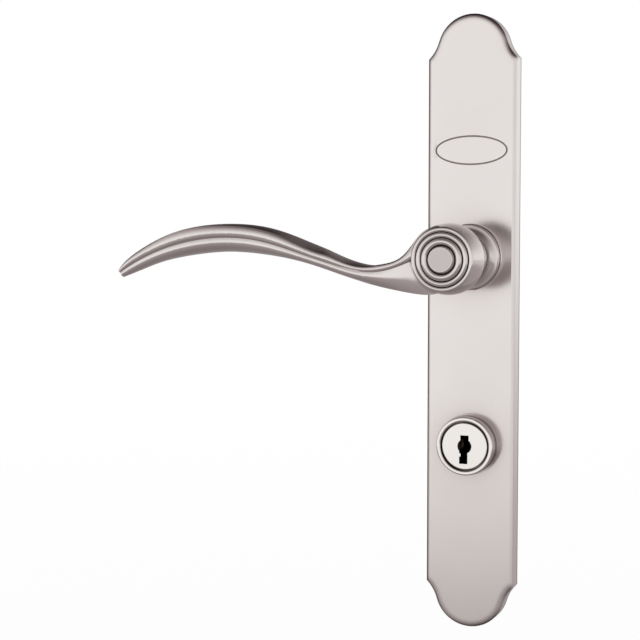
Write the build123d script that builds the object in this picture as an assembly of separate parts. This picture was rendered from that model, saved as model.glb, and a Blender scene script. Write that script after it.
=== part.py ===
"""Outside trim of a storm door handle set: plate, wave lever and key cylinder, in millimetres.

+Z is up, the outside of the door is towards -Y and the lever points to -X.
The origin is on the spindle's axis, at the back of the plate, where it meets the door.
"""
from build123d import *
import os
from dataclasses import dataclass
from math import acos, cos, degrees, radians, sin

# Fits
RUN_FIT = 0.05            # radial play of a turning fit
SEAT_FIT = 0.02           # radial play of a fixed fit
SIDE_PLAY = 0.3           # play between faces that pass each other
END_PLAY = 0.1            # axial play between flat faces that turn on each other

# Plate
PLATE_LENGTH = 216.0
PLATE_WIDTH = 31.9
PLATE_THICK = 6.6
PLATE_WEB = 2.2           # thickness of the face
PLATE_RIM = 2.2           # thickness of the rim round the hollow back
PLATE_EDGE_ROUND = 1.3
ARCH_RADIUS = 12.7        # round head at each end
ARCH_JOIN_ANGLE = 16.0    # where the head turns into the flare, above its widest point
FLARE_RADIUS = 14.0       # hollow curve from the head out to the shoulder
SHOULDER_ROUND = 0.5
SPINDLE_ABOVE_CENTRE = 23.5
CYLINDER_DROP = 66.0      # spindle axis down to the cylinder's axis
OVAL_RISE = 37.2          # engraved oval above the spindle
OVAL_HALF_WIDTH = 12.8
OVAL_HALF_HEIGHT = 4.9
OVAL_LINE = 0.6           # width of the engraved line
OVAL_DEPTH = 0.35
RIB_THICK = 1.4
RIB_SHORT = 1.6           # how far a rib stays below the rim
RIB_HEIGHTS = (66.0, 36.0, -36.0, -88.0)

# Mounting posts
POST_UP = 52.0            # upper post above the spindle
POST_DOWN = 104.0         # lower post below the spindle
POST_RADIUS = 4.0
POST_LENGTH = 22.0        # how far a post stands behind the plate
POST_SPIGOT_RADIUS = 2.9
POST_TAP_RADIUS = 1.65
POST_TAP_DEPTH = 15.0
POST_BOSS_WALL = 2.1
POST_BOSS_SHORT = 1.0     # how far the boss stays below the rim
POST_SPIGOT_SKIN = 1.2    # metal left in front of the spigot's hole

# Lever collar and bushing
COLLAR_BASE_RADIUS = 11.6
COLLAR_BASE_HEIGHT = 1.4
COLLAR_BEAD_RADIUS = 11.25
COLLAR_BEAD_HEIGHT = 2.9
COLLAR_STEP = 0.35        # depth of the groove between base and bead, and of the bead's back
COLLAR_TOP_RADIUS = 8.9
COLLAR_HEIGHT = 7.6
COLLAR_SPIGOT_RADIUS = 9.0
BUSHING_WALL = 1.2
BUSHING_FLANGE_RADIUS = 8.6
BUSHING_FLANGE_THICK = 0.8

# Lever hub, heights above the plate's face
SHANK_RADIUS = 6.5
SHANK_FLAT = 5.5          # half the width across the flats behind the plate
NECK_RADIUS = 8.4
NECK_LENGTH = 2.4
LIP_RADIUS = 11.5         # back of the barrel's rounded lip
LIP_HEIGHT = 23.3
BARREL_RADIUS = 12.15
BARREL_HEIGHT = 24.8      # where the barrel is widest
RIM_HEIGHT = 33.7
RIM_OUTER_RADIUS = 10.95
RIM_INNER_RADIUS = 9.15
RIM_OUTER_DEPTH = 0.7     # crest of the rim above the barrel's front edge
GROOVE_DEPTH = 0.7        # crest of the rim above the groove inside it
MID_RING_INNER_RADIUS = 7.25
MID_RING_RISE = 0.45      # crest of the middle ring above the rim's
INNER_RING_INNER_RADIUS = 4.85
INNER_RING_RISE = 1.0
DISC_RADIUS = 4.4
DISC_RISE = 1.5
DISC_ROUND = 0.35
RING_POCKET_DEPTH = 2.0   # the arm is cut away inside the rim, this far below the rim's crest

# Lever arm: the crease line, seen from the front
ARM_FRONT_HEIGHT = 31.0   # the crease above the plate's face
ARM_REACH = 122.0         # hub's axis to the tip
ROOT_PLACE = 0.008        # where the line starts, inside the hub, as a share of the reach
ROOT_RISE = 2.8           # above the hub's axis
ROOT_SLOPE = 14.0         # degrees, falling away from the hub
WRIST_PLACE = 0.215       # lowest point, as a share of the reach
WRIST_RISE = -4.65
SWELL_PLACE = 0.41        # middle of the climb
SWELL_RISE = 0.85
SWELL_SLOPE = -16.8
CREST_PLACE = 0.64        # highest point
CREST_RISE = 6.75
TIP_RISE = -6.1
TIP_SLOPE = 33.0

# Lever arm: its cross-section, as shares of the section's own heights and depth
BEAD_RISE = 1.0           # how far the upper band stands in front of the crease
BEAD_FOOT = 0.2           # height where the band has come forward out of the crease
BEAD_FOOT_SET = 0.85      # how far forward it is there, as a share of the band's rise
BEAD_CREST = 0.58         # height of the band's foremost line
TOP_EDGE_SET = 0.15       # how far forward the top edge is, as a share of the band's rise
REAR_EDGE = 0.89          # depth where the rear's rounding starts
REAR_HALF = 0.5           # height of the rear's upper and lower edges
UNDER_CROWN = 0.95        # height of the underside's middle
FACE_TURN = 0.42          # height of the lower face's foremost line
FACE_RISE = 0.14          # how far that line stands in front of the crease

# Spindle
SPINDLE_SIDE = 7.0
SPINDLE_BACK = 42.0       # how far it stands behind the plate
SPINDLE_DEPTH = 24.0      # how far it goes in front of the door's plane
SPINDLE_PIN_RADIUS = 1.2
SPINDLE_PIN_WALL = 0.5
SPINDLE_PIN_SLIT = 0.5

# Spring housing and its stack
HOUSING_RADIUS = 13.2
HOUSING_WALL = 1.2
HOUSING_FLOOR = 1.4
HOUSING_BACK = 3.6        # how far it stands behind the plate
EAR_OFFSET = 3.4          # screws outside the housing's wall
EAR_RADIUS = 3.2
EAR_THICK = 1.5
EAR_BACK = 0.4            # the ears' back, below the plate's back
SCREW_RADIUS = 1.25
SCREW_HEAD_RADIUS = 2.4
SCREW_HEAD_HEIGHT = 1.5
SCREW_SLOT = 0.7
SCREW_SKIN = 1.0          # metal left in front of the screw's hole
SPRING_WIDTH = 3.8
SPRING_HALF_TURNS = 5
SPRING_FILL = 0.58        # strip's thickness as a share of the room for each turn
SPRING_CLEAR = 0.73       # spring's outer turn inside the housing
SPRING_GAP = 0.25         # spring's inner turn above the driver's sleeve
DRIVER_SLEEVE_WALL = 1.4
DRIVER_DISC_THICK = 1.3
STOP_TAB_WIDTH = 3.6
STOP_TAB_REACH = 0.9      # how far the tab reaches into the housing's wall
LEVER_TURN = 40.0         # degrees
WASHER_RADIUS = 9.8
WASHER_THICK = 1.0
RING_WIDTH = 2.2
RING_THICK = 1.0
RING_DEPTH = 0.75         # depth of the ring's groove in the shank
RING_OPENING = 70.0       # degrees
SHANK_TAIL = 4.6          # shank behind the ring

# Key cylinder, heights above the plate's face
CYL_COLLAR_BASE_RADIUS = 10.8
CYL_COLLAR_BASE_HEIGHT = 2.0
CYL_COLLAR_RADIUS = 10.25
CYL_COLLAR_HEIGHT = 6.6
CYL_COLLAR_ROUND = 0.5
SHELL_RADIUS = 8.7
SHELL_FRONT = 2.4
SHELL_FLANGE_RADIUS = 11.6
SHELL_FLANGE_THICK = 2.2
SHELL_BACK = 17.4         # how far the shell stands behind the plate
CHAMBER_BLOCK_WIDTH = 8.6
CHAMBER_BLOCK_TOP = 16.4  # above the cylinder's axis
PLUG_RADIUS = 6.8
PLUG_FACE_RADIUS = 8.2
PLUG_FACE_THICK = 3.7
PLUG_FACE_ROUND = 0.3
PLUG_TAIL_RADIUS = 5.0
PLUG_TAIL_LENGTH = 3.4

# Keyway, seen from the front
KEYWAY_TOP = 3.85
KEYWAY_BOTTOM = 6.2
KEYWAY_WIDTH = 3.0
KEYWAY_SHIFT = 0.4        # lower half to the left of the upper half
KEYWAY_STEP = 0.9         # height of the step between the two halves, below the axis
KEYWAY_END = 3.0          # plug left closed behind the keyway
WARD_WIDTH = 0.5
WARD_HEIGHT = 1.1
WARD_RISE = 0.6
KEY_MOUTH_RADIUS = 2.55   # round mouth in the middle of the keyway
KEY_MOUTH_DEPTH = 3.6

# Pin stacks
PIN_COUNT = 5
PIN_PITCH = 3.3
PIN_RADIUS = 1.3
PIN_FIRST = 1.8           # first stack behind the plate
PIN_POINT = 0.8
PIN_HOLE_BELOW = 1.2      # how far the plug's pin holes go below its axis
SHEAR_GAP = 0.08          # each pin's end from the shear line
DRIVER_PIN_LENGTH = 4.2
KEY_PIN_SHORTEST = 4.4
KEY_CUT_STEPS = (1, 3, 0, 2, 4)
KEY_CUT_STEP = 0.38
PIN_WIRE_RADIUS = 0.18
PIN_SPRING_TURNS = 4
CAP_STRIP_THICK = 1.0
CAP_STRIP_WIDTH = 4.6

# Plug cap and tailpiece
CAP_RADIUS = 7.4
CAP_FLOOR = 1.1
CAP_ROUND = 0.5
TAIL_HEAD_THICK = 1.1
TAIL_WIDTH = 6.0
TAIL_THICK = 1.8
TAIL_BACK = 50.0          # how far it stands behind the plate

# Places worked out from the sizes
FACE_Y = -PLATE_THICK
WEB_Y = FACE_Y + PLATE_WEB
PLATE_TOP = PLATE_LENGTH / 2 - SPINDLE_ABOVE_CENTRE
PLATE_CENTRE_Z = PLATE_TOP - PLATE_LENGTH / 2
CYL_Z = -CYLINDER_DROP
POST_HEIGHTS = (POST_UP, -POST_DOWN)
POST_BOSS_Y = -POST_BOSS_SHORT
POST_BOSS_RADIUS = POST_SPIGOT_RADIUS + POST_BOSS_WALL
EAR_REACH = HOUSING_RADIUS + EAR_OFFSET
EAR_FRONT_Y = -EAR_BACK - EAR_THICK
BUSHING_RADIUS = SHANK_RADIUS + RUN_FIT + BUSHING_WALL
SHOULDER_HEIGHT = COLLAR_HEIGHT + BUSHING_FLANGE_THICK + END_PLAY
HOUSING_FLOOR_Y = HOUSING_BACK - HOUSING_FLOOR
HOUSING_BORE = HOUSING_RADIUS - HOUSING_WALL
DRIVER_BACK_Y = HOUSING_FLOOR_Y - SIDE_PLAY
DRIVER_DISC_Y = DRIVER_BACK_Y - DRIVER_DISC_THICK
DRIVER_FRONT_Y = WEB_Y + SIDE_PLAY
SLEEVE_RADIUS = SHANK_RADIUS + SEAT_FIT + DRIVER_SLEEVE_WALL
SPRING_BORE = SLEEVE_RADIUS + SPRING_GAP
SPRING_ROOM = HOUSING_BORE - SPRING_CLEAR - SPRING_BORE
SPRING_GROWTH = SPRING_ROOM / (SPRING_HALF_TURNS - 1 + 2 * SPRING_FILL)
SPRING_STRIP = 2 * SPRING_GROWTH * SPRING_FILL
SPRING_FRONT_Y = DRIVER_FRONT_Y + END_PLAY
WASHER_BACK_Y = HOUSING_BACK + WASHER_THICK
RING_FRONT_Y = WASHER_BACK_Y + END_PLAY
SHANK_END_Y = RING_FRONT_Y + RING_THICK + SHANK_TAIL
SPINDLE_PIN_Y = SHANK_END_Y - SHANK_TAIL / 2
SOCKET_SIDE = SPINDLE_SIDE + 2 * RUN_FIT
SHELL_BORE = PLUG_RADIUS + RUN_FIT
PLUG_FACE_BACK = SHELL_FRONT + END_PLAY
PLUG_TAIL_END_Y = SHELL_BACK + PLUG_TAIL_LENGTH
PIN_BORE = PIN_RADIUS + RUN_FIT
PIN_PLACES = [PIN_FIRST + index * PIN_PITCH for index in range(PIN_COUNT)]
DRIVER_PIN_FOOT = SHELL_BORE + SHEAR_GAP
DRIVER_PIN_TOP = DRIVER_PIN_FOOT + DRIVER_PIN_LENGTH
CAP_STRIP_FOOT = CHAMBER_BLOCK_TOP - CAP_STRIP_THICK
CAP_FLOOR_Y = PLUG_TAIL_END_Y + TAIL_HEAD_THICK + END_PLAY


@dataclass
class ArmStation:
    """One cross-section of the arm, at a share of the crease line's length from the hub."""
    share: float
    upper: float          # crease up to the top edge
    lower: float          # crease down to the bottom edge
    depth: float          # crease back to the rear of the arm
    under: float          # how far back the bottom edge lies, as a share of the depth
    crown: float          # height of the top at half depth, as a share of the top edge's
    fore: float = 0.0     # crease in front of the arm's front plane


ARM_STATIONS = [
    ArmStation(share=0.000, upper=7.50, lower=12.60, depth=10.0, under=0.06, crown=0.95, fore=0.55),
    ArmStation(share=0.030, upper=7.90, lower=13.00, depth=10.3, under=0.06, crown=0.95, fore=0.55),
    ArmStation(share=0.060, upper=5.80, lower=13.00, depth=10.6, under=0.06, crown=0.95, fore=0.55),
    ArmStation(share=0.095, upper=3.20, lower=11.60, depth=10.8, under=0.07, crown=0.95, fore=0.50),
    ArmStation(share=0.140, upper=2.20, lower=8.30, depth=11.0, under=0.09, crown=0.76, fore=0.30),
    ArmStation(share=0.200, upper=2.30, lower=4.58, depth=11.0, under=0.14, crown=0.90, fore=0.10),
    ArmStation(share=0.280, upper=2.20, lower=2.59, depth=11.0, under=0.22, crown=1.29),
    ArmStation(share=0.360, upper=2.80, lower=1.75, depth=11.0, under=0.27, crown=1.37),
    ArmStation(share=0.460, upper=3.50, lower=2.91, depth=11.3, under=0.31, crown=1.30),
    ArmStation(share=0.560, upper=4.09, lower=4.63, depth=11.4, under=0.34, crown=1.16),
    ArmStation(share=0.660, upper=4.22, lower=4.93, depth=11.4, under=0.36, crown=1.08),
    ArmStation(share=0.780, upper=4.54, lower=4.51, depth=10.8, under=0.38, crown=0.95),
    ArmStation(share=0.890, upper=3.46, lower=3.26, depth=9.3, under=0.40, crown=0.93),
    ArmStation(share=0.960, upper=2.44, lower=2.45, depth=7.5, under=0.40, crown=0.93),
    ArmStation(share=1.000, upper=1.00, lower=0.80, depth=6.0, under=0.40, crown=0.93),
]


def height(above_face):
    """The Y place of a height above the plate's face."""
    return FACE_Y - above_face


def turned(edges, drop=0.0):
    """A solid turned about the Y axis, from profile edges in radius and Y, moved down by drop."""
    return Pos(0, 0, -drop) * revolve(make_face(edges), axis=Axis.Y)


def turned_steps(points, drop=0.0):
    """A turned solid with a straight-sided profile."""
    return turned(Polyline(*points, close=True).edges(), drop)


def rod(radius, front_y, back_y, x=0.0, z=0.0):
    """A round bar along Y."""
    length = back_y - front_y
    return Pos(x, (front_y + back_y) / 2, z) * Rot(90, 0, 0) * Cylinder(radius, length)


def bar(width, tall, front_y, back_y, x=0.0, z=0.0):
    """A rectangular bar along Y."""
    return Pos(x, (front_y + back_y) / 2, z) * Box(width, back_y - front_y, tall)


def slab(sketch, front_y, back_y):
    """A sketch drawn as seen from the front, extruded from back_y to front_y."""
    return extrude(Plane.XZ.offset(-back_y) * sketch, amount=back_y - front_y)


def solids_of(shapes):
    """Separate solids kept together in one node."""
    return Compound(children=[solid for shape in shapes for solid in shape.solids()])


# Plate

def end_points(inset):
    """Right half of one end: shoulder, middle of the flare, join and apex, from the plate's centre."""
    join = radians(ARCH_JOIN_ANGLE)
    side = PLATE_WIDTH / 2 - inset
    arch = ARCH_RADIUS - inset
    flare = FLARE_RADIUS + inset
    arch_z = PLATE_LENGTH / 2 - ARCH_RADIUS
    flare_x = (ARCH_RADIUS + FLARE_RADIUS) * cos(join)
    flare_z = arch_z + (ARCH_RADIUS + FLARE_RADIUS) * sin(join)
    last = acos((flare_x - side) / flare)
    middle = (join + last) / 2
    shoulder = (side, flare_z - flare * sin(last))
    bend = (flare_x - flare * cos(middle), flare_z - flare * sin(middle))
    joined = (arch * cos(join), arch_z + arch * sin(join))
    return shoulder, bend, joined, (0, arch_z + arch)


def plate_outline(inset=0.0):
    """The plate's outline with its ogee ends, as a face seen from the front."""
    shoulder, bend, joined, apex = end_points(inset)
    edges = []
    for up in (1, -1):
        for out in (1, -1):
            corner, hollow, join = [(out * x, up * z) for x, z in (shoulder, bend, joined)]
            edges.append(ThreePointArc(corner, hollow, join))
        left, right = [(out * joined[0], up * joined[1]) for out in (-1, 1)]
        edges.append(ThreePointArc(left, (0, up * apex[1]), right))
    for out in (1, -1):
        edges.append(Line((out * shoulder[0], -shoulder[1]), (out * shoulder[0], shoulder[1])))
    face = make_face(edges)
    corners = [v for v in face.vertices() if abs(abs(v.X) - shoulder[0]) < SEAT_FIT]
    return Pos(0, PLATE_CENTRE_Z) * fillet(corners, SHOULDER_ROUND)


def plate_ribs():
    """Low ribs across the hollow back, cut to the hollow's outline."""
    bars = Sketch() + [Pos(0, z) * Rectangle(PLATE_WIDTH, RIB_THICK) for z in RIB_HEIGHTS]
    inside = plate_outline(PLATE_RIM - SEAT_FIT)
    return slab(bars & inside, WEB_Y, -RIB_SHORT)


def oval_line():
    """The plain oval engraved in the plate's face, as seen from the front."""
    half = OVAL_LINE / 2
    line = Ellipse(OVAL_HALF_WIDTH + half, OVAL_HALF_HEIGHT + half)
    return Pos(0, OVAL_RISE) * (line - Ellipse(OVAL_HALF_WIDTH - half, OVAL_HALF_HEIGHT - half))


def escutcheon_plate():
    body = slab(plate_outline(), FACE_Y, 0)
    front_edges = body.faces().sort_by(Axis.Y)[0].edges()
    body = fillet(front_edges, PLATE_EDGE_ROUND)
    body -= slab(plate_outline(PLATE_RIM), WEB_Y, 0)
    body -= rod(HOUSING_RADIUS + SIDE_PLAY, WEB_Y, 0)
    body += plate_ribs()
    for z in POST_HEIGHTS:
        body += rod(POST_BOSS_RADIUS, WEB_Y, POST_BOSS_Y, z=z)
        body -= rod(POST_SPIGOT_RADIUS + SEAT_FIT, FACE_Y + POST_SPIGOT_SKIN, POST_BOSS_Y, z=z)
    for z in (EAR_REACH, -EAR_REACH):
        body += rod(EAR_RADIUS, WEB_Y, EAR_FRONT_Y, z=z)
        body -= rod(SCREW_RADIUS, FACE_Y + SCREW_SKIN, EAR_FRONT_Y, z=z)
    body -= rod(COLLAR_SPIGOT_RADIUS + SEAT_FIT, FACE_Y, WEB_Y)
    body -= rod(SHELL_RADIUS + RUN_FIT, FACE_Y, WEB_Y, z=CYL_Z)
    return body - slab(oval_line(), FACE_Y, FACE_Y + OVAL_DEPTH)


def mounting_posts():
    posts = []
    for z in POST_HEIGHTS:
        post = rod(POST_RADIUS, POST_BOSS_Y, POST_LENGTH, z=z)
        post += rod(POST_SPIGOT_RADIUS, FACE_Y + POST_SPIGOT_SKIN + END_PLAY, POST_BOSS_Y, z=z)
        post -= rod(POST_TAP_RADIUS, POST_LENGTH - POST_TAP_DEPTH, POST_LENGTH, z=z)
        posts.append(post)
    return solids_of(posts)


# Lever bearing

def lever_collar():
    """Base ring, bead and cove, with a spigot through the plate."""
    bore = BUSHING_RADIUS + SEAT_FIT
    base_top = height(COLLAR_BASE_HEIGHT)
    bead_top = height(COLLAR_BASE_HEIGHT + COLLAR_BEAD_HEIGHT)
    bead_mid = (base_top + bead_top) / 2
    waist = COLLAR_BEAD_RADIUS - COLLAR_STEP
    top = height(COLLAR_HEIGHT)
    cove_mid = ((waist + 3 * COLLAR_TOP_RADIUS) / 4, (3 * bead_top + top) / 4)
    edges = [
        Polyline((bore, top), (bore, WEB_Y), (COLLAR_SPIGOT_RADIUS, WEB_Y),
                 (COLLAR_SPIGOT_RADIUS, FACE_Y), (COLLAR_BASE_RADIUS, FACE_Y),
                 (COLLAR_BASE_RADIUS, base_top + COLLAR_STEP),
                 (COLLAR_BASE_RADIUS - COLLAR_STEP, base_top), (waist, base_top)),
        ThreePointArc((waist, base_top), (COLLAR_BEAD_RADIUS, bead_mid), (waist, bead_top)),
        ThreePointArc((waist, bead_top), cove_mid, (COLLAR_TOP_RADIUS, top)),
        Line((COLLAR_TOP_RADIUS, top), (bore, top)),
    ]
    return turned(edges)


def lever_bushing():
    flange_back = height(COLLAR_HEIGHT)
    flange_front = flange_back - BUSHING_FLANGE_THICK
    bore = SHANK_RADIUS + RUN_FIT
    return turned_steps([(bore, flange_front), (BUSHING_FLANGE_RADIUS, flange_front),
                         (BUSHING_FLANGE_RADIUS, flange_back), (BUSHING_RADIUS, flange_back),
                         (BUSHING_RADIUS, WEB_Y), (bore, WEB_Y)])


# Lever

def ring_edges():
    """Profile of the hub's front: disc, two rounded rings and the groove inside the rim."""
    floor = RIM_HEIGHT - GROOVE_DEPTH
    valleys = [(INNER_RING_INNER_RADIUS, floor + INNER_RING_RISE),
               (MID_RING_INNER_RADIUS, floor + MID_RING_RISE),
               (RIM_INNER_RADIUS, floor)]
    crests = [RIM_HEIGHT + INNER_RING_RISE, RIM_HEIGHT + MID_RING_RISE]
    foot = RIM_HEIGHT - 2 * RING_POCKET_DEPTH
    disc = RIM_HEIGHT + DISC_RISE
    first, last = valleys[0], valleys[-1]
    disc_edge = (DISC_RADIUS - DISC_ROUND, height(disc))
    disc_side = (DISC_RADIUS, height(disc - DISC_ROUND))
    edges = [
        Polyline((last[0], height(last[1])), (last[0], height(foot)), (0, height(foot)),
                 (0, height(disc)), disc_edge),
        TangentArc(disc_edge, disc_side, tangent=(1, 0)),
        Line(disc_side, (first[0], height(first[1]))),
    ]
    for inner, outer, crest in zip(valleys, valleys[1:], crests):
        middle = ((inner[0] + outer[0]) / 2, height(crest))
        edges.append(ThreePointArc((inner[0], height(inner[1])), middle, (outer[0], height(outer[1]))))
    return edges


def hub_edges():
    """Profile of the hub: rim, barrel, lip, neck and shank."""
    groove = RIM_HEIGHT - GROOVE_DEPTH
    rim_in = (RIM_INNER_RADIUS, height(groove))
    rim_top = ((RIM_INNER_RADIUS + RIM_OUTER_RADIUS) / 2, height(RIM_HEIGHT))
    rim_out = (RIM_OUTER_RADIUS, height(RIM_HEIGHT - RIM_OUTER_DEPTH))
    widest = (BARREL_RADIUS, height(BARREL_HEIGHT))
    lip = (LIP_RADIUS, height(LIP_HEIGHT))
    neck_top = SHOULDER_HEIGHT + NECK_LENGTH
    neck = (NECK_RADIUS, height(neck_top))
    cove_mid = ((3 * NECK_RADIUS + LIP_RADIUS) / 4, height((neck_top + 2 * LIP_HEIGHT) / 3))
    return [
        Polyline((0, SHANK_END_Y), (0, rim_in[1]), rim_in),
        ThreePointArc(rim_in, rim_top, rim_out),
        TangentArc(widest, rim_out, tangent=(0, -1)),
        TangentArc(widest, lip, tangent=(0, 1)),
        ThreePointArc(lip, cove_mid, neck),
        Polyline(neck, (NECK_RADIUS, height(SHOULDER_HEIGHT)), (SHANK_RADIUS, height(SHOULDER_HEIGHT)),
                 (SHANK_RADIUS, SHANK_END_Y), (0, SHANK_END_Y)),
    ]


def crease_line():
    """The arm's crease from the hub to the tip, in X and Z."""
    places = [ROOT_PLACE, WRIST_PLACE, SWELL_PLACE, CREST_PLACE, 1.0]
    rises = [ROOT_RISE, WRIST_RISE, SWELL_RISE, CREST_RISE, TIP_RISE]
    points = [(-ARM_REACH * place, rise) for place, rise in zip(places, rises)]
    slopes = [radians(angle) for angle in (ROOT_SLOPE, 0, SWELL_SLOPE, 0, TIP_SLOPE)]
    return Spline(*points, tangents=[(-cos(slope), -sin(slope)) for slope in slopes])


def arm_section(crease, station):
    """Cross-section square to the crease: upper band, top, rear, underside and lower face."""
    place = crease.position_at(station.share)
    along = crease.tangent_at(station.share)
    origin = (place.X, height(ARM_FRONT_HEIGHT + station.fore), place.Y)
    plane = Plane(origin=origin, x_dir=(along.Y, 0, -along.X), z_dir=(along.X, 0, along.Y))
    upper, lower, depth = station.upper, station.lower, station.depth
    band = min(BEAD_RISE, upper / 2)
    foot = (upper * BEAD_FOOT, -band * BEAD_FOOT_SET)
    top = (upper, -band * TOP_EDGE_SET)
    rear_top = (upper * REAR_HALF, depth * REAR_EDGE)
    rear_low = (-lower * REAR_HALF, depth * REAR_EDGE)
    low = (-lower, depth * station.under)
    under = (-lower * UNDER_CROWN, (low[1] + rear_low[1]) / 2)
    edges = [
        Line((0, 0), foot),
        ThreePointArc(foot, (upper * BEAD_CREST, -band), top),
        ThreePointArc(top, (upper * station.crown, depth / 2), rear_top),
        ThreePointArc(rear_top, (0, depth), rear_low),
        ThreePointArc(rear_low, under, low),
        ThreePointArc(low, (-lower * FACE_TURN, -FACE_RISE), (0, 0)),
    ]
    return plane * make_face(edges)


def shank_flats(grow=0.0):
    """The shank's two-flatted section behind the plate, as seen from the front."""
    return Circle(SHANK_RADIUS + grow) & Rectangle(2 * (SHANK_FLAT + grow), 3 * SHANK_RADIUS)


def lever():
    crease = crease_line()
    arm = loft([arm_section(crease, station) for station in ARM_STATIONS])
    body = turned(hub_edges()) + arm
    pocket_floor = height(RIM_HEIGHT - RING_POCKET_DEPTH)
    body -= rod(RIM_INNER_RADIUS, height(RIM_HEIGHT + 2 * BEAD_RISE), pocket_floor)
    body += turned(ring_edges())
    body -= slab(Circle(SHANK_RADIUS * 2) - shank_flats(), WEB_Y, SHANK_END_Y)
    groove = Circle(SHANK_RADIUS * 2) - Circle(SHANK_RADIUS - RING_DEPTH)
    body -= slab(groove, RING_FRONT_Y, RING_FRONT_Y + RING_THICK)
    body -= bar(SOCKET_SIDE, SOCKET_SIDE, -SPINDLE_DEPTH - END_PLAY, SHANK_END_Y)
    body -= Pos(0, SPINDLE_PIN_Y, 0) * Cylinder(SPINDLE_PIN_RADIUS + SEAT_FIT, 4 * SHANK_RADIUS)
    return body


def spindle():
    body = bar(SPINDLE_SIDE, SPINDLE_SIDE, -SPINDLE_DEPTH, SPINDLE_BACK)
    ends = body.edges().filter_by(Axis.Y, reverse=True)
    body = chamfer(ends, SPINDLE_SIDE / 10)
    return body - Pos(0, SPINDLE_PIN_Y, 0) * Cylinder(SPINDLE_PIN_RADIUS + SEAT_FIT, 4 * SHANK_RADIUS)


def spindle_pin():
    """Slotted spring pin across the shank and the spindle."""
    length = 2 * (SHANK_RADIUS - SEAT_FIT)
    pin = Cylinder(SPINDLE_PIN_RADIUS, length)
    pin -= Cylinder(SPINDLE_PIN_RADIUS - SPINDLE_PIN_WALL, length)
    pin -= Pos(SPINDLE_PIN_RADIUS, 0, 0) * Box(2 * SPINDLE_PIN_RADIUS, SPINDLE_PIN_SLIT, length)
    return Pos(0, SPINDLE_PIN_Y, 0) * pin


# Return spring

def stop_half_angle():
    """Half the angle of the housing's window: the tab, its turn and its play."""
    arc_each_side = STOP_TAB_WIDTH / 2 + SIDE_PLAY
    return LEVER_TURN / 2 + degrees(arc_each_side / HOUSING_BORE)


def spring_housing():
    wall = Circle(HOUSING_RADIUS) - Circle(HOUSING_BORE)
    body = slab(wall, WEB_Y, HOUSING_FLOOR_Y)
    floor = Circle(HOUSING_RADIUS) - Circle(SHANK_RADIUS + SIDE_PLAY)
    body += slab(floor, HOUSING_FLOOR_Y, HOUSING_BACK)
    for z in (EAR_REACH, -EAR_REACH):
        ear = Pos(0, z) * Circle(EAR_RADIUS) + Pos(0, z / 2) * Rectangle(2 * EAR_RADIUS, EAR_REACH)
        ear -= Circle(HOUSING_BORE)
        ear -= Pos(0, z) * Circle(SCREW_RADIUS + SIDE_PLAY)
        body += slab(ear, EAR_FRONT_Y, -EAR_BACK)
        body -= rod(EAR_RADIUS + SIDE_PLAY, WEB_Y, EAR_FRONT_Y, z=z)
    half = stop_half_angle()
    far = 2 * HOUSING_RADIUS
    spread = far * sin(radians(half))
    reach = far * cos(radians(half))
    window = make_face(Polyline((0, 0), (reach, spread), (reach, -spread), close=True).edges())
    body -= slab(window - Circle(HOUSING_BORE - SIDE_PLAY), DRIVER_DISC_Y - SIDE_PLAY, HOUSING_FLOOR_Y)
    slot = Pos(-HOUSING_RADIUS, -SPRING_STRIP / 2) * Rectangle(HOUSING_RADIUS, SPRING_STRIP + 2 * RUN_FIT)
    body -= slab(slot, WEB_Y, SPRING_FRONT_Y + SPRING_WIDTH + RUN_FIT)
    return body


def housing_screws():
    screws = []
    for z in (EAR_REACH, -EAR_REACH):
        tip = FACE_Y + SCREW_SKIN + END_PLAY
        screw = rod(SCREW_RADIUS - SEAT_FIT, tip, -EAR_BACK, z=z)
        head = rod(SCREW_HEAD_RADIUS, -EAR_BACK, -EAR_BACK + SCREW_HEAD_HEIGHT, z=z)
        head = fillet(head.edges().sort_by(Axis.Y)[-1], SCREW_HEAD_HEIGHT / 3)
        slot_floor = -EAR_BACK + SCREW_HEAD_HEIGHT / 2
        head -= bar(3 * SCREW_HEAD_RADIUS, SCREW_SLOT, slot_floor, SCREW_HEAD_HEIGHT, z=z)
        screws.append(screw + head)
    return solids_of(screws)


def return_spring():
    """Flat strip wound in half circles, with an inner tang and an outer hook."""
    edges = []
    start_radius = SPRING_BORE
    for turn in range(SPRING_HALF_TURNS):
        radius = start_radius + turn * SPRING_GROWTH
        up = 1 if turn % 2 == 0 else -1
        centre = 0 if turn % 2 == 0 else SPRING_GROWTH
        for edge_radius in (radius, radius + SPRING_STRIP):
            ends = [(centre + up * edge_radius, 0), (centre - up * edge_radius, 0)]
            edges.append(ThreePointArc(ends[0], (centre, up * edge_radius), ends[1]))
    last = start_radius + (SPRING_HALF_TURNS - 1) * SPRING_GROWTH
    edges.append(Line((start_radius, 0), (start_radius + SPRING_STRIP, 0)))
    edges.append(Line((-last, 0), (-last - SPRING_STRIP, 0)))
    strip = make_face(edges)
    tang_length = SPRING_GAP + DRIVER_SLEEVE_WALL * 0.7
    tang = Pos(SPRING_BORE + SPRING_STRIP / 2 - tang_length / 2, SPRING_STRIP / 2)
    strip += tang * Rectangle(tang_length + SPRING_STRIP, SPRING_STRIP)
    hook_from = last
    hook_to = HOUSING_RADIUS
    hook = Pos(-(hook_from + hook_to) / 2, -SPRING_STRIP / 2)
    strip += hook * Rectangle(hook_to - hook_from, SPRING_STRIP)
    return slab(strip, SPRING_FRONT_Y, SPRING_FRONT_Y + SPRING_WIDTH)


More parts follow.
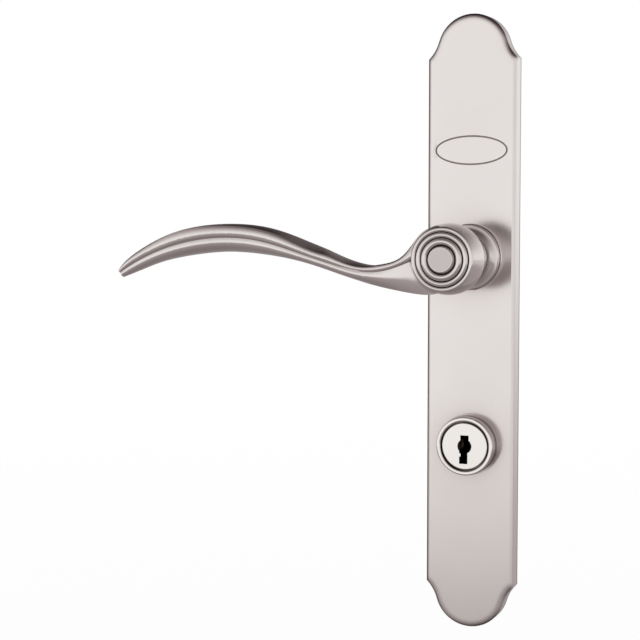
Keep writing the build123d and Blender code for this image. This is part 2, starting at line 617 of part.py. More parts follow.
def spring_driver():
    """Sleeve keyed on the shank's flats, with the disc and the tab that meets the stops."""
    bore = shank_flats(SEAT_FIT)
    sleeve = slab(Circle(SLEEVE_RADIUS) - bore, DRIVER_FRONT_Y, DRIVER_DISC_Y)
    slot = Pos(SLEEVE_RADIUS, SPRING_STRIP / 2) * Rectangle(
        2 * DRIVER_SLEEVE_WALL * 0.9, SPRING_STRIP + 2 * RUN_FIT)
    sleeve -= slab(slot, DRIVER_FRONT_Y, SPRING_FRONT_Y + SPRING_WIDTH + RUN_FIT)
    disc = Circle(HOUSING_BORE - SIDE_PLAY)
    reach = HOUSING_BORE + STOP_TAB_REACH
    tab = Pos(reach / 2, 0) * Rectangle(reach, STOP_TAB_WIDTH)
    rest = Rot(0, 0, -LEVER_TURN / 2)
    disc = slab(disc + rest * tab - bore, DRIVER_DISC_Y, DRIVER_BACK_Y)
    return sleeve + disc


def thrust_washer():
    return slab(Circle(WASHER_RADIUS) - Circle(SHANK_RADIUS + SIDE_PLAY), HOUSING_BACK, WASHER_BACK_Y)


def retaining_ring():
    """Open ring in the shank's groove."""
    inner = SHANK_RADIUS - RING_DEPTH + SEAT_FIT
    ring = Circle(inner + RING_WIDTH) - Circle(inner)
    far = 2 * SHANK_RADIUS
    half = radians(RING_OPENING / 2)
    mouth = Polyline((0, 0), (far * sin(half), -far * cos(half)), (-far * sin(half), -far * cos(half)),
                     close=True)
    ring -= make_face(mouth.edges())
    return slab(ring, RING_FRONT_Y, RING_FRONT_Y + RING_THICK)


# Key cylinder

def cylinder_collar():
    """Stepped ring nut on the shell, with a rounded front rim."""
    bore = SHELL_RADIUS + RUN_FIT
    front = height(CYL_COLLAR_HEIGHT)
    step = height(CYL_COLLAR_BASE_HEIGHT)
    ring = turned_steps([(bore, FACE_Y), (CYL_COLLAR_BASE_RADIUS, FACE_Y), (CYL_COLLAR_BASE_RADIUS, step),
                         (CYL_COLLAR_RADIUS, step), (CYL_COLLAR_RADIUS, front), (bore, front)])
    rim = ring.edges().group_by(Axis.Y)[0]
    return Pos(0, 0, CYL_Z) * fillet(rim, CYL_COLLAR_ROUND)


def lock_cylinder_shell():
    """Round shell with a flange behind the plate and the pin chamber above the plug."""
    front = height(SHELL_FRONT)
    flange_back = WEB_Y + SHELL_FLANGE_THICK
    body = rod(SHELL_RADIUS, front, SHELL_BACK)
    body += rod(SHELL_FLANGE_RADIUS, WEB_Y, flange_back)
    corner = CHAMBER_BLOCK_WIDTH / 4
    block = Pos(0, CHAMBER_BLOCK_TOP / 2) * Rectangle(CHAMBER_BLOCK_WIDTH, CHAMBER_BLOCK_TOP)
    block = fillet(block.vertices().group_by(Axis.Y)[-1], corner)
    body += slab(block, flange_back, SHELL_BACK)
    body -= rod(SHELL_BORE, front, SHELL_BACK)
    for y in PIN_PLACES:
        body -= Pos(0, y, CHAMBER_BLOCK_TOP / 2) * Cylinder(PIN_BORE, CHAMBER_BLOCK_TOP)
    body -= chamber_cap_solid(RUN_FIT)
    return Pos(0, 0, CYL_Z) * body


def chamber_cap_solid(grow=0.0):
    """Strip over the pin chamber, about the cylinder's axis."""
    first = PIN_PLACES[0] - PIN_PITCH / 2
    last = PIN_PLACES[-1] + PIN_PITCH / 2
    middle = (CAP_STRIP_FOOT + CHAMBER_BLOCK_TOP) / 2
    strip = bar(CAP_STRIP_WIDTH, CAP_STRIP_THICK, first, last, z=middle)
    ends = strip.edges().filter_by(Axis.Z)
    strip = fillet(ends, CAP_STRIP_WIDTH / 3)
    return offset(strip, grow) if grow else strip


def chamber_cap():
    return Pos(0, 0, CYL_Z) * chamber_cap_solid()


def keyway():
    """Keyhole outline: an upper and a lower half set apart sideways, with a ward in each."""
    half = KEYWAY_WIDTH / 2
    upper_tall = KEYWAY_TOP + KEYWAY_STEP
    lower_tall = KEYWAY_BOTTOM - KEYWAY_STEP
    upper = Pos(0, KEYWAY_TOP - upper_tall / 2) * Rectangle(KEYWAY_WIDTH, upper_tall)
    lower = Pos(-KEYWAY_SHIFT, -KEYWAY_BOTTOM + lower_tall / 2) * Rectangle(KEYWAY_WIDTH, lower_tall)
    right_ward = Pos(half - WARD_WIDTH / 2, WARD_RISE) * Rectangle(WARD_WIDTH, WARD_HEIGHT)
    left_x = WARD_WIDTH / 2 - half - KEYWAY_SHIFT
    left_ward = Pos(left_x, -KEYWAY_STEP - 2 * WARD_HEIGHT) * Rectangle(WARD_WIDTH, WARD_HEIGHT)
    return upper + lower - right_ward - left_ward


def lock_plug():
    """Turning plug with its bright face, keyway and pin holes."""
    face_front = height(PLUG_FACE_BACK + PLUG_FACE_THICK)
    body = rod(PLUG_RADIUS, height(PLUG_FACE_BACK), SHELL_BACK + END_PLAY)
    face = rod(PLUG_FACE_RADIUS, face_front, height(PLUG_FACE_BACK))
    body += fillet(face.edges().sort_by(Axis.Y)[0], PLUG_FACE_ROUND)
    body += rod(PLUG_TAIL_RADIUS, SHELL_BACK + END_PLAY, PLUG_TAIL_END_Y)
    body -= slab(keyway(), face_front, SHELL_BACK - KEYWAY_END)
    body -= rod(KEY_MOUTH_RADIUS, face_front, face_front + KEY_MOUTH_DEPTH)
    hole_length = PLUG_RADIUS + PIN_HOLE_BELOW
    for y in PIN_PLACES:
        body -= Pos(0, y, hole_length / 2 - PIN_HOLE_BELOW) * Cylinder(PIN_BORE, hole_length)
    return Pos(0, 0, CYL_Z) * body


def key_pins():
    """Pointed pins in the plug, lifted to the shear line as the right key lifts them."""
    pins = []
    top = PLUG_RADIUS - SHEAR_GAP - PIN_RADIUS ** 2 / (2 * PLUG_RADIUS)
    for index, y in enumerate(PIN_PLACES):
        cut = KEY_CUT_STEPS[index % len(KEY_CUT_STEPS)]
        length = KEY_PIN_SHORTEST + cut * KEY_CUT_STEP
        body = Pos(0, 0, top - length / 2) * Cylinder(PIN_RADIUS, length)
        point = Pos(0, 0, top - length - PIN_POINT / 2) * Cone(PIN_RADIUS / 3, PIN_RADIUS, PIN_POINT)
        pins.append(Pos(0, y, CYL_Z) * (body + point))
    return solids_of(pins)


def driver_pins():
    pins = []
    for y in PIN_PLACES:
        pin = Pos(0, y, CYL_Z + DRIVER_PIN_FOOT + DRIVER_PIN_LENGTH / 2) * Cylinder(
            PIN_RADIUS, DRIVER_PIN_LENGTH)
        pins.append(pin)
    return solids_of(pins)


def pin_springs():
    """Coil springs between the driver pins and the strip."""
    tall = CAP_STRIP_FOOT - DRIVER_PIN_TOP - 2 * PIN_WIRE_RADIUS - 2 * SEAT_FIT
    coil_radius = PIN_RADIUS - PIN_WIRE_RADIUS - SEAT_FIT
    path = Helix(pitch=tall / PIN_SPRING_TURNS, height=tall, radius=coil_radius)
    section = Plane(origin=path @ 0, z_dir=path % 0) * Circle(PIN_WIRE_RADIUS)
    coil = sweep(section, path=path, is_frenet=True)
    foot = DRIVER_PIN_TOP + PIN_WIRE_RADIUS + SEAT_FIT
    return solids_of([Pos(0, y, CYL_Z + foot) * coil for y in PIN_PLACES])


def plug_cap():
    """Cap on the plug's tail, which keeps the plug in the shell and the tailpiece on the plug."""
    front = SHELL_BACK + 2 * END_PLAY
    back = CAP_FLOOR_Y + CAP_FLOOR
    body = rod(CAP_RADIUS, front, back)
    body = fillet(body.edges().sort_by(Axis.Y)[-1], CAP_ROUND)
    body -= rod(PLUG_TAIL_RADIUS + SEAT_FIT, front, CAP_FLOOR_Y)
    body -= bar(TAIL_THICK + 2 * SIDE_PLAY, TAIL_WIDTH + 2 * SIDE_PLAY, CAP_FLOOR_Y, back)
    return Pos(0, 0, CYL_Z) * body


def tailpiece():
    head = rod(PLUG_TAIL_RADIUS - SIDE_PLAY, PLUG_TAIL_END_Y, PLUG_TAIL_END_Y + TAIL_HEAD_THICK)
    blade = bar(TAIL_THICK, TAIL_WIDTH, PLUG_TAIL_END_Y + TAIL_HEAD_THICK, TAIL_BACK)
    tip = blade.edges().filter_by(Axis.X).sort_by(Axis.Y)[-2:]
    return Pos(0, 0, CYL_Z) * (head + chamfer(tip, TAIL_WIDTH / 5))


NODES = [escutcheon_plate, mounting_posts, lever_collar, lever_bushing, lever, spindle, spindle_pin,
         spring_housing, housing_screws, return_spring, spring_driver, thrust_washer, retaining_ring,
         cylinder_collar, lock_cylinder_shell, lock_plug, key_pins, driver_pins, pin_springs, chamber_cap,
         plug_cap, tailpiece]

os.makedirs("parts", exist_ok=True)
for node in NODES:
    export_step(node(), f"parts/{node.__name__}.step")
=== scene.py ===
"""Looks of the storm door handle set: finishes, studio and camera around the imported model.

Lengths are in metres. X points right, Y towards the door and Z up, from the lever's axis at the plate's back.
"""
from collections import namedtuple
from math import pi, radians

import bpy
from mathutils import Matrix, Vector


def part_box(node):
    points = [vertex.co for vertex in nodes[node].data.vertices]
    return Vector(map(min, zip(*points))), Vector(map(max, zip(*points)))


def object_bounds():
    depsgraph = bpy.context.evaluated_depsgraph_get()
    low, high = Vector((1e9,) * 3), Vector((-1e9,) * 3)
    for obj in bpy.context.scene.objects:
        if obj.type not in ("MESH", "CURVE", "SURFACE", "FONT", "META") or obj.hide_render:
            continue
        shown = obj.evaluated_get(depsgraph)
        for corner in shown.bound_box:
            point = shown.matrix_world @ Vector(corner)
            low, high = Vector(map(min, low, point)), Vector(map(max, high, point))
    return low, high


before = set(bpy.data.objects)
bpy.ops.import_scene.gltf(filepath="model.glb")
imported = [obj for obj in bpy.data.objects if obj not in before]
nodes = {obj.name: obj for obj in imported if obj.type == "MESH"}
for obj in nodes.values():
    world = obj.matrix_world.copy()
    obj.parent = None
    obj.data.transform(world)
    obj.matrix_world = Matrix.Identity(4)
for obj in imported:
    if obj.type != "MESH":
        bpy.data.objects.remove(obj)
cad_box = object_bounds()
scene = bpy.context.scene

WHITE = (1.0, 1.0, 1.0)

# Camera, at the photograph's viewing angle
CAMERA_PLACE = (0.1669, -0.5659, 0.0175)
CAMERA_YAW = 21.8           # degrees, from straight in front to the right
CAMERA_PITCH = -3.9         # degrees, downward
CAMERA_LEVEL = 90           # tilt in degrees of a camera that looks level
CAMERA_LENS = 93.375        # focal length in mm
CAMERA_CLIP = 0.01

# Floor, which fades out from the middle to its rim
FLOOR_DROP = 0.07           # below the plate's lower end
FLOOR_RADIUS = 1.2
FLOOR_SIDES = 64
FLOOR_FADE = 0.3            # distance from the middle where the fading starts
FLOOR_GREY = 0.3
FLOOR_GLOW = 0.76

# The world's light on surfaces that aren't mirrors
WORLD_FILL = 0.75
# The room that metal mirrors. Its brightness goes by height, from straight down (0) to straight up (1),
FRONT_WALL = [(0.00, 0.22), (0.15, 0.27), (0.29, 0.37), (0.365, 0.38), (0.383, 0.50), (0.395, 0.73),
              (0.41, 0.94), (0.43, 1.02), (0.47, 1.03), (0.55, 1.03), (0.67, 0.72), (0.80, 0.50),
              (0.91, 0.20), (0.98, 0.11), (1.00, 0.10)]
BACK_WALL = [(0.00, 0.24), (0.07, 0.27), (0.20, 0.34), (0.31, 0.38), (0.396, 0.38), (0.456, 0.74),
             (0.50, 0.95), (0.56, 0.98), (0.69, 0.50), (0.80, 0.27), (0.91, 0.17), (1.00, 0.12)]
# where the front wall gives way to the back wall between these Y of a direction,
FRONT_TO_BACK = (-0.2, 0.4)
# and by the way round, from behind (0) by the left (0.25), front (0.5) and right (0.75) to behind (1),
ALL_ROUND = [(0.00, 0.74), (0.02, 0.60), (0.04, 0.18), (0.08, 0.14), (0.20, 0.16), (0.25, 0.24),
             (0.29, 0.95), (0.31, 1.14), (0.365, 1.14), (0.41, 1.06), (0.45, 1.0), (0.50, 0.91),
             (0.583, 0.83), (0.667, 0.81), (0.75, 0.80), (0.80, 0.87), (0.86, 0.98), (0.945, 1.0),
             (0.975, 0.92), (1.00, 0.74)]
# which comes to count between these heights
ROUND_FROM = (0.28, 0.44)
# The darker walls have a warm cast, by that share of the brightness
WARM_SHARE = 0.5
WARM_DARK = [(0.00, (0.0, 0.0, 0.0)), (0.05, (0.118, 0.097, 0.098)), (0.20, (0.44, 0.392, 0.396)),
             (0.40, (0.82, 0.797, 0.792)), (0.50, (1.0, 0.993, 0.99)), (1.00, (2.0, 1.985, 1.98))]

# Tints, each between two colours in a slow drift
NICKEL_TINTS = ((0.79, 0.755, 0.735), (0.82, 0.785, 0.765))
LEVER_TINTS = ((0.735, 0.697, 0.683), (0.775, 0.737, 0.721))
BRIGHT_TINTS = ((0.86, 0.84, 0.81), (0.89, 0.865, 0.835))
ZINC_TINTS = ((0.70, 0.72, 0.74), (0.78, 0.79, 0.78))
CAST_TINTS = ((0.46, 0.46, 0.47), (0.55, 0.55, 0.56))
SPRING_TINTS = ((0.22, 0.21, 0.22), (0.30, 0.28, 0.27))
BRASS_TINTS = ((0.70, 0.53, 0.26), (0.78, 0.60, 0.32))
PLASTIC_TINTS = ((0.17, 0.155, 0.148), (0.21, 0.195, 0.187))
TINT_SCALE = (30.0, 30.0, 30.0)
TINT_STOPS = (0.35, 0.65)
TINT_ROUGHNESS = 0.5

# Grain, as a noise's scale along each axis
BRUSHED_UP = (9000.0, 9000.0, 250.0)      # fine lines along the plate
BRUSHED_ALONG = (350.0, 5000.0, 9000.0)   # fine lines along the lever
DRAWN_GRAIN = (6000.0, 300.0, 6000.0)     # fine lines along the bars
EVEN_GRAIN = (5000.0, 5000.0, 5000.0)
CAST_GRAIN = (1500.0, 1500.0, 1500.0)
GRAIN_ROUGHNESS = 0.6
GRAIN_HEIGHT = 4e-6
FINE_HEIGHT = 1e-6
PLASTIC_HEIGHT = 1e-5
CAST_HEIGHT = 2e-5
ROUGH_SWING = 0.04          # the grain's swing in roughness
NICKEL_SWING = 0.03
PLATE_SWING = 0.015

NOISE_DETAIL = 3.0
NOISE_MIDDLE = (0.3, 0.7)   # most of a noise lies between these
NODE_SAMPLES = 8            # rays of each ambient occlusion and bevel node

# Painted shade by how open the ground is, from a deep hollow to open ground: in narrow hollows, and near
# another piece,
HOLLOW_PAINTED_SHADES = [(0.38, (0.09, 0.07, 0.07)), (0.82, WHITE)]
CONTACT_PAINTED_SHADES = [(0.45, (0.80, 0.75, 0.75)), (0.98, WHITE)]
# and a painted highlight, from a thin crest to thick metal
CREST_PAINTED_HIGHLIGHTS = [(0.55, (1.26, 1.27, 1.28)), (0.92, WHITE)]

# Y of a true normal, below which a face is at the front, and above which it is at the back
FRONT_FACING = -0.1
BACK_FACING = 0.5

# The plate's front edges at its two arched ends and along its left side, softly rounded and with a painted
# dark line that stands in for a dark reflection
EDGE_ROUND = 2.6e-3
EDGE_LEFT_OF = -0.0125
EDGE_BELOW = -0.1145
EDGE_ABOVE = 0.0675
EDGE_BEFORE = -0.003
SOFT_EDGES = (EDGE_ROUND, EDGE_LEFT_OF, EDGE_BELOW, EDGE_ABOVE, EDGE_BEFORE)
EDGE_PAINTED_SHADES = [(0.0, WHITE), (1.0, (0.25, 0.22, 0.22))]
# The painted line darkens between these Z or X of a rounded normal
EDGE_UP = (0.08, 0.38)
EDGE_DOWN = (-0.18, -0.60)
EDGE_LEFT = (-0.22, -0.55)

# The plate's dark line at the door
REAR_DEPTH = 1.2e-3
REAR_SHADES = [(0.0, WHITE), (1.0, (0.24, 0.22, 0.22))]

# The oval's engraved line, darkened with painted shade in the groove
OVAL_DEPTH = 0.35e-3
OVAL_SIDE = 0.0138
OVAL_RISE = 0.0372
OVAL_HEIGHT = 0.006
OVAL_PAINTED_SHADES = [(0.0, WHITE), (1.0, (0.55, 0.52, 0.52))]

# The hub's grooves, right of the arm, darkened with painted shade, and the matt disc in its middle
HUB_REACH = 2.2e-3
HUB_LEFT = -0.012
HUB_HOLLOWS = (0.38, 0.82)  # openness of a deep groove and of open ground
HUB_PAINTED_SHADES = [(0.0, WHITE), (1.0, (0.09, 0.07, 0.07))]
DISC_RADIUS = 4.5e-3
DISC_FRONT = -0.0412
DISC_SHADES = [(0.0, WHITE), (1.0, (0.83, 0.81, 0.81))]
DISC_ROUGHER = 0.16

# Painted shade on the walls of the cylinder's ring, inside the keyhole and on the cylinder shell's front
WALL_PAINTED_SHADES = [(0.15, WHITE), (0.75, (0.56, 0.51, 0.51))]
KEYHOLE_DEPTH = 0.9e-3
KEYHOLE_PAINTED_SHADES = [(0.0, WHITE), (1.0, (0.22, 0.19, 0.18))]
SHELL_DEPTH = 12e-3
SHELL_PAINTED_SHADES = [(0.0, (0.30, 0.37, 0.72)), (1.0, WHITE)]

# A part of a surface: its mask, from 0 to 1, what the mask measures by, its shades and how much rougher it is
Zone = namedtuple("Zone", "mask measures shades rougher", defaults=(0.0,))


# Node helpers

def feed(tree, socket, value):
    """Sets a socket to a constant, or links it to another socket."""
    if isinstance(value, bpy.types.NodeSocket):
        tree.links.new(value, socket)
    else:
        socket.default_value = value


def add(tree, kind, **inputs):
    """A new node with its input values or links set by name."""
    node = tree.nodes.new(kind)
    for name, value in inputs.items():
        feed(tree, node.inputs[name.replace("_", " ")], value)
    return node


def grey(level):
    """A grey as a socket takes it."""
    return (level, level, level, 1.0)


def ramp(tree, factor, stops, blend="LINEAR"):
    """A colour ramp; stops are (place, grey or colour)."""
    node = add(tree, "ShaderNodeValToRGB", Fac=factor)
    node.color_ramp.interpolation = blend
    elements = node.color_ramp.elements
    while len(elements) < len(stops):
        elements.new(0.5)   # moved to its own place below
    for element, (place, colour) in zip(elements, stops):
        element.position = place
        element.color = grey(colour) if isinstance(colour, float) else (*colour, 1.0)
    return node.outputs["Color"]


def spread(tree, factor, low, high, start, end):
    """A range spread over two values."""
    node = add(tree, "ShaderNodeMapRange", Value=factor, From_Min=start, From_Max=end,
               To_Min=low, To_Max=high)
    return node.outputs["Result"]


def share_of(tree, factor, start, end):
    """From 0 at the start of a range to 1 at its end."""
    return spread(tree, factor, 0.0, 1.0, start, end)


def sums(tree, operation, first, second=0.0):
    """One sum on two values, each a constant or a link."""
    node = tree.nodes.new("ShaderNodeMath")
    node.operation = operation
    feed(tree, node.inputs[0], first)
    feed(tree, node.inputs[1], second)
    return node.outputs["Value"]


def product(tree, first, *others):
    """Values multiplied, which for masks is where they overlap."""
    for other in others:
        first = sums(tree, "MULTIPLY", first, other)
    return first


def over(tree, value, limit):
    """1 where a value is over a limit, and 0 elsewhere."""
    return sums(tree, "GREATER_THAN", value, limit)


def under(tree, value, limit):
    """1 where a value is under a limit, and 0 elsewhere."""
    return sums(tree, "LESS_THAN", value, limit)


def named(sockets, identifier):
    """The socket with that identifier, where several have one name."""
    return next(socket for socket in sockets if socket.identifier == identifier)


def mixed(tree, factor, first, second, blend="MIX"):
    """Two colours mixed, or multiplied, by a factor."""
    node = tree.nodes.new("ShaderNodeMix")
    node.data_type = "RGBA"
    node.blend_type = blend
    feed(tree, named(node.inputs, "Factor_Float"), factor)
    feed(tree, named(node.inputs, "A_Color"), first)
    feed(tree, named(node.inputs, "B_Color"), second)
    return named(node.outputs, "Result_Color")


def shaded(tree, colour, share, shades, blend="LINEAR"):
    """A colour multiplied by the shades that a share picks out."""
    return mixed(tree, 1.0, colour, ramp(tree, share, shades, blend), "MULTIPLY")


def axes(tree, vector):
    """A vector's X, Y and Z."""
    return add(tree, "ShaderNodeSeparateXYZ", Vector=vector).outputs


def own_point(tree):
    """A point on the piece, in the shared frame at rest."""
    return tree.nodes.new("ShaderNodeTexCoord").outputs["Object"]


def own_place(tree):
    """A point's X, Y and Z on the piece."""
    return axes(tree, own_point(tree))


def scaled_noise(tree, scale, roughness):
    """Noise over the piece's own place, scaled apart along each axis."""
    mapped = add(tree, "ShaderNodeMapping", Vector=own_point(tree), Scale=scale)
    noise = add(tree, "ShaderNodeTexNoise", Vector=mapped.outputs["Vector"], Scale=1.0,
                Detail=NOISE_DETAIL, Roughness=roughness)
    return noise.outputs["Fac"]


def openness(tree, reach, local=True, inside=False):
    """How open the ground is within that reach, or inside the piece, how thick the metal."""
    node = add(tree, "ShaderNodeAmbientOcclusion", Distance=reach)
    node.samples = NODE_SAMPLES
    node.only_local = local
    node.inside = inside
    return node.outputs["AO"]


def soft_normals(tree, radius):
    """The surface's normals, rounded over at its edges."""
    node = add(tree, "ShaderNodeBevel", Radius=radius)
    node.samples = NODE_SAMPLES
    return node.outputs["Normal"]


def facing_back(tree):
    """How far the surface faces the door: -1 away from it, 0 on a wall and 1 towards it."""
    normal = tree.nodes.new("ShaderNodeNewGeometry").outputs["True Normal"]
    return axes(tree, normal)["Y"]


# Masks of the zones

def crisp_ground(tree, left, low, high, rear):
    """0 near the front edges of the left side and of the two ends, and 1 elsewhere."""
    place = own_place(tree)
    middle = product(tree, over(tree, place["X"], left), over(tree, place["Z"], low),
                     under(tree, place["Z"], high))
    return sums(tree, "MAXIMUM", middle, over(tree, place["Y"], rear))


def turned_edges(tree, radius, *limits):
    """From 0 on open ground to 1 on the front edges that turn up, down or left, where a dark reflection is
    painted.
    """
    way = axes(tree, soft_normals(tree, radius))
    upward = share_of(tree, way["Z"], *EDGE_UP)
    downward = share_of(tree, way["Z"], *EDGE_DOWN)
    leftward = share_of(tree, way["X"], *EDGE_LEFT)
    turned = sums(tree, "MAXIMUM", upward, sums(tree, "MAXIMUM", downward, leftward))
    edge = sums(tree, "SUBTRACT", turned, crisp_ground(tree, *limits))
    return product(tree, edge, under(tree, facing_back(tree), FRONT_FACING))


def rear_line(tree, depth):
    """1 on the walls where they meet the door, and 0 elsewhere."""
    near = share_of(tree, own_place(tree)["Y"], -depth, -depth / 2)
    return product(tree, near, under(tree, facing_back(tree), BACK_FACING))


def below_face(tree, face, depth):
    """From 0 on the front face to 1 at that depth behind it."""
    return share_of(tree, own_place(tree)["Y"], face + depth / 3, face + depth)


def oval_groove(tree, face, depth, side, rise, height):
    """1 in the oval's engraved line, which lies that near to the middle and to that rise, and 0 elsewhere."""
    place = own_place(tree)
    beside = sums(tree, "ABSOLUTE", place["X"])
    level = sums(tree, "ABSOLUTE", sums(tree, "SUBTRACT", place["Z"], rise))
    return product(tree, below_face(tree, face, depth), under(tree, beside, side),
                   under(tree, level, height), under(tree, facing_back(tree), FRONT_FACING))


def hub_hollows(tree, reach, left):
    """From 1 in the grooves of the hub, right of that X, where shade is painted, to 0 on open ground."""
    depth = spread(tree, openness(tree, reach), 1.0, 0.0, *HUB_HOLLOWS)
    return product(tree, depth, over(tree, own_place(tree)["X"], left))


def matt_disc(tree, radius, front):
    """1 on the disc in the middle of the hub, and 0 elsewhere."""
    place = own_place(tree)
    squares = [product(tree, place[axis], place[axis]) for axis in "XZ"]
    near = under(tree, sums(tree, "ADD", *squares), radius ** 2)
    return product(tree, near, under(tree, place["Y"], front))


def on_walls(tree):
    """From 0 on a front face to 1 on a wall."""
    return share_of(tree, facing_back(tree), -1.0, 0.0)


# Finishes

def new_material(name):
    """A material, its nodes and its shader."""
    material = bpy.data.materials.new(name)
    material.use_nodes = True
    tree = material.node_tree
    return material, tree, tree.nodes["Principled BSDF"]


def round_off(tree, radius, *limits):
    """Normals rounded over at the front edges of the left side and of the two ends."""
    sharp = tree.nodes.new("ShaderNodeNewGeometry").outputs["Normal"]
    return mixed(tree, crisp_ground(tree, *limits), soft_normals(tree, radius), sharp)


def finish(name, tints, rough, grain, metallic=1.0, rough_swing=ROUGH_SWING, grain_height=GRAIN_HEIGHT,
           hollow_painted_shade=0.0, crest_painted_highlight=0.0, shade=0.0, zones=(), soft_edges=None):
    """A surface with a slow drift between two tints, and a grain in its gloss and its relief.

    Painted shade darkens hollows narrower than one length, a painted highlight lightens crests thinner than
    another, and painted shade darkens the ground that near to another piece.
    """
    material, tree, shader = new_material(name)
    shader.inputs["Metallic"].default_value = metallic
    drift = scaled_noise(tree, TINT_SCALE, TINT_ROUGHNESS)
    colour = ramp(tree, drift, list(zip(TINT_STOPS, tints)))
    # painted shade in narrow hollows
    if hollow_painted_shade:
        colour = shaded(tree, colour, openness(tree, hollow_painted_shade), HOLLOW_PAINTED_SHADES)
    # painted highlight on thin crests
    if crest_painted_highlight:
        colour = shaded(tree, colour, openness(tree, crest_painted_highlight, inside=True), CREST_PAINTED_HIGHLIGHTS)
    # painted shade on the ground near another piece
    if shade:
        colour = shaded(tree, colour, openness(tree, shade, local=False), CONTACT_PAINTED_SHADES)
    lines = scaled_noise(tree, grain, GRAIN_ROUGHNESS)
    gloss = spread(tree, lines, rough - rough_swing, rough + rough_swing, *NOISE_MIDDLE)
    for zone in zones:
        share = zone.mask(tree, *zone.measures)
        colour = shaded(tree, colour, share, zone.shades)
        if zone.rougher:
            gloss = sums(tree, "ADD", gloss, product(tree, share, zone.rougher))
    feed(tree, shader.inputs["Base Color"], colour)
    feed(tree, shader.inputs["Roughness"], gloss)
    bump = add(tree, "ShaderNodeBump", Height=lines, Strength=1.0, Distance=grain_height)
    if soft_edges:
        feed(tree, bump.inputs["Normal"], round_off(tree, *soft_edges))
    feed(tree, shader.inputs["Normal"], bump.outputs["Normal"])
    return material


def dress(material, *names):
    """Gives that material to the named pieces."""
    for name in names:
        slots = nodes[name].data.materials
        slots.clear()
        slots.append(material)


plate_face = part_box("escutcheon_plate")[0][1]
plug_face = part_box("lock_plug")[0][1]
shell_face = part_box("lock_cylinder_shell")[0][1]
plate_zones = [Zone(rear_line, (REAR_DEPTH,), REAR_SHADES),
               Zone(turned_edges, SOFT_EDGES, EDGE_PAINTED_SHADES),
               Zone(oval_groove, (plate_face, OVAL_DEPTH, OVAL_SIDE, OVAL_RISE, OVAL_HEIGHT), OVAL_PAINTED_SHADES)]
lever_zones = [Zone(hub_hollows, (HUB_REACH, HUB_LEFT), HUB_PAINTED_SHADES),
               Zone(matt_disc, (DISC_RADIUS, DISC_FRONT), DISC_SHADES, DISC_ROUGHER)]
# painted shade on the ring's walls
ring_zones = [Zone(on_walls, (), WALL_PAINTED_SHADES)]
# painted shade inside the keyhole
plug_zones = [Zone(below_face, (plug_face, KEYHOLE_DEPTH), KEYHOLE_PAINTED_SHADES)]
# painted shade on the shell's front
shell_zones = [Zone(below_face, (shell_face, SHELL_DEPTH), SHELL_PAINTED_SHADES)]
smooth_nickel = {"rough_swing": NICKEL_SWING, "grain_height": FINE_HEIGHT}

# The lengths below also set painted shade in hollows and near other pieces, and painted highlights on thin
# crests
dress(finish("plate_nickel", NICKEL_TINTS, rough=0.18, grain=BRUSHED_UP, rough_swing=PLATE_SWING,
             grain_height=FINE_HEIGHT, hollow_painted_shade=1.2e-3, shade=14e-3, zones=plate_zones, soft_edges=SOFT_EDGES),
      "escutcheon_plate")
dress(finish("lever_nickel", LEVER_TINTS, rough=0.12, grain=BRUSHED_ALONG, **smooth_nickel,
             crest_painted_highlight=0.9e-3, zones=lever_zones),
      "lever")
dress(finish("collar_nickel", LEVER_TINTS, rough=0.18, grain=EVEN_GRAIN, **smooth_nickel,
             hollow_painted_shade=1.5e-3, crest_painted_highlight=0.7e-3, shade=5e-3),
      "lever_collar")
dress(finish("ring_nickel", BRIGHT_TINTS, rough=0.10, grain=EVEN_GRAIN, **smooth_nickel,
             hollow_painted_shade=2e-3, shade=5e-3, zones=ring_zones),
      "cylinder_collar")
dress(finish("plug_nickel", BRIGHT_TINTS, rough=0.10, grain=EVEN_GRAIN, **smooth_nickel,
             hollow_painted_shade=3e-3, shade=5e-3, zones=plug_zones),
      "lock_plug")
dress(finish("zinc_steel", ZINC_TINTS, rough=0.34, grain=EVEN_GRAIN),
      "mounting_posts", "housing_screws", "thrust_washer", "spring_driver")
dress(finish("drawn_steel", ZINC_TINTS, rough=0.32, grain=DRAWN_GRAIN),
      "spindle", "tailpiece")
dress(finish("cast_zinc", CAST_TINTS, rough=0.46, grain=CAST_GRAIN, grain_height=CAST_HEIGHT),
      "spring_housing")
dress(finish("spring_steel", SPRING_TINTS, rough=0.30, grain=EVEN_GRAIN),
      "return_spring", "pin_springs", "retaining_ring", "spindle_pin")
dress(finish("shell_brass", BRASS_TINTS, rough=0.30, grain=EVEN_GRAIN, zones=shell_zones),
      "lock_cylinder_shell")
dress(finish("brass", BRASS_TINTS, rough=0.28, grain=EVEN_GRAIN),
      "key_pins", "driver_pins", "chamber_cap", "plug_cap")
dress(finish("bearing_plastic", PLASTIC_TINTS, rough=0.45, grain=CAST_GRAIN, metallic=0.0,
             grain_height=PLASTIC_HEIGHT),
      "lever_bushing")


# Studio

def chosen(tree, rays, others, own):
    """A shader of their own for the chosen rays, and another for the others."""
    node = add(tree, "ShaderNodeMixShader", Fac=rays)
    feed(tree, node.inputs[1], others)
    feed(tree, node.inputs[2], own)
    return node.outputs["Shader"]


def glow(tree, colour, strength):
    """The world's light in one colour and strength."""
    return add(tree, "ShaderNodeBackground", Color=colour, Strength=strength).outputs["Background"]


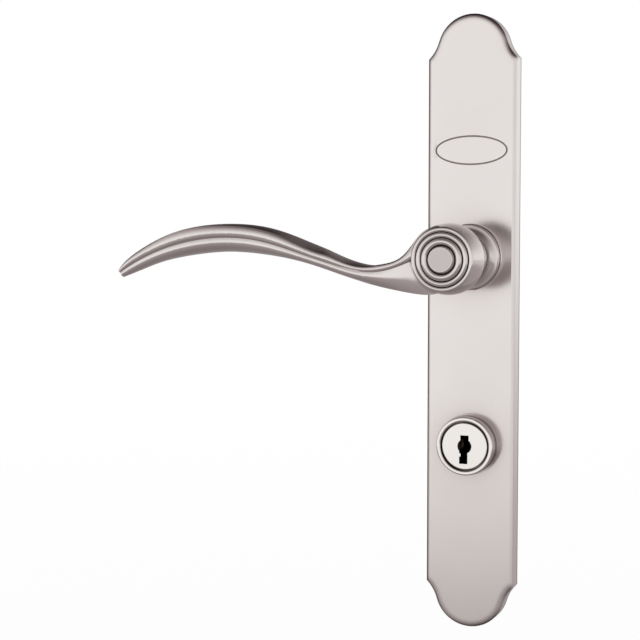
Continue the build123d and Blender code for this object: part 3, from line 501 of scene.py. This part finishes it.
def mirrored_room(tree):
    """What metal mirrors: a bright front wall and horizon under a dark ceiling."""
    way = axes(tree, tree.nodes.new("ShaderNodeTexCoord").outputs["Generated"])
    rise = share_of(tree, way["Z"], -1.0, 1.0)
    front, back = [ramp(tree, rise, stops, "B_SPLINE") for stops in (FRONT_WALL, BACK_WALL)]
    walls = mixed(tree, share_of(tree, way["Y"], *FRONT_TO_BACK), front, back)
    turn = sums(tree, "ARCTAN2", way["X"], product(tree, way["Y"], -1.0))
    turned = shaded(tree, walls, share_of(tree, turn, -pi, pi), ALL_ROUND, "B_SPLINE")
    room = mixed(tree, share_of(tree, rise, *ROUND_FROM), walls, turned)
    return ramp(tree, product(tree, room, WARM_SHARE), WARM_DARK)


def studio_world():
    """White to the camera, a room to metal and an even light to other surfaces."""
    world = bpy.data.worlds.new("studio")
    scene.world = world
    world.use_nodes = True
    tree = world.node_tree
    tree.nodes.clear()
    rays = tree.nodes.new("ShaderNodeLightPath").outputs
    lit = chosen(tree, rays["Is Glossy Ray"], glow(tree, grey(1.0), WORLD_FILL),
                 glow(tree, mirrored_room(tree), 1.0))
    seen = chosen(tree, rays["Is Camera Ray"], lit, glow(tree, grey(1.0), 1.0))
    add(tree, "ShaderNodeOutputWorld", Surface=seen)


def studio_floor():
    """A pale round floor that fades into the background."""
    low = cad_box[0][2] - FLOOR_DROP
    bpy.ops.mesh.primitive_circle_add(vertices=FLOOR_SIDES, radius=FLOOR_RADIUS, fill_type="NGON",
                                      location=(0, 0, low))
    floor = bpy.context.object
    floor.name = "floor"
    material, tree, shader = new_material("floor_paper")
    distance = add(tree, "ShaderNodeVectorMath", Vector=own_point(tree))
    distance.operation = "LENGTH"
    fade = spread(tree, distance.outputs["Value"], 1.0, 0.0, FLOOR_FADE, FLOOR_RADIUS)
    paper = {"Base Color": grey(FLOOR_GREY), "Roughness": 1.0, "Specular IOR Level": 0.0,
             "Emission Color": grey(1.0), "Emission Strength": FLOOR_GLOW, "Alpha": fade}
    for name, value in paper.items():
        feed(tree, shader.inputs[name], value)
    floor.data.materials.append(material)
    floor.visible_glossy = False
    floor.visible_diffuse = False


def studio_camera():
    """A camera at the photograph's viewing angle."""
    camera = bpy.data.cameras.new("camera")
    camera.lens = CAMERA_LENS
    camera.clip_start = CAMERA_CLIP
    holder = bpy.data.objects.new("camera", camera)
    scene.collection.objects.link(holder)
    holder.location = CAMERA_PLACE
    holder.rotation_euler = (radians(CAMERA_LEVEL + CAMERA_PITCH), 0, radians(CAMERA_YAW))
    scene.camera = holder


studio_world()
studio_floor()
studio_camera()
scene.view_settings.view_transform = "Standard"
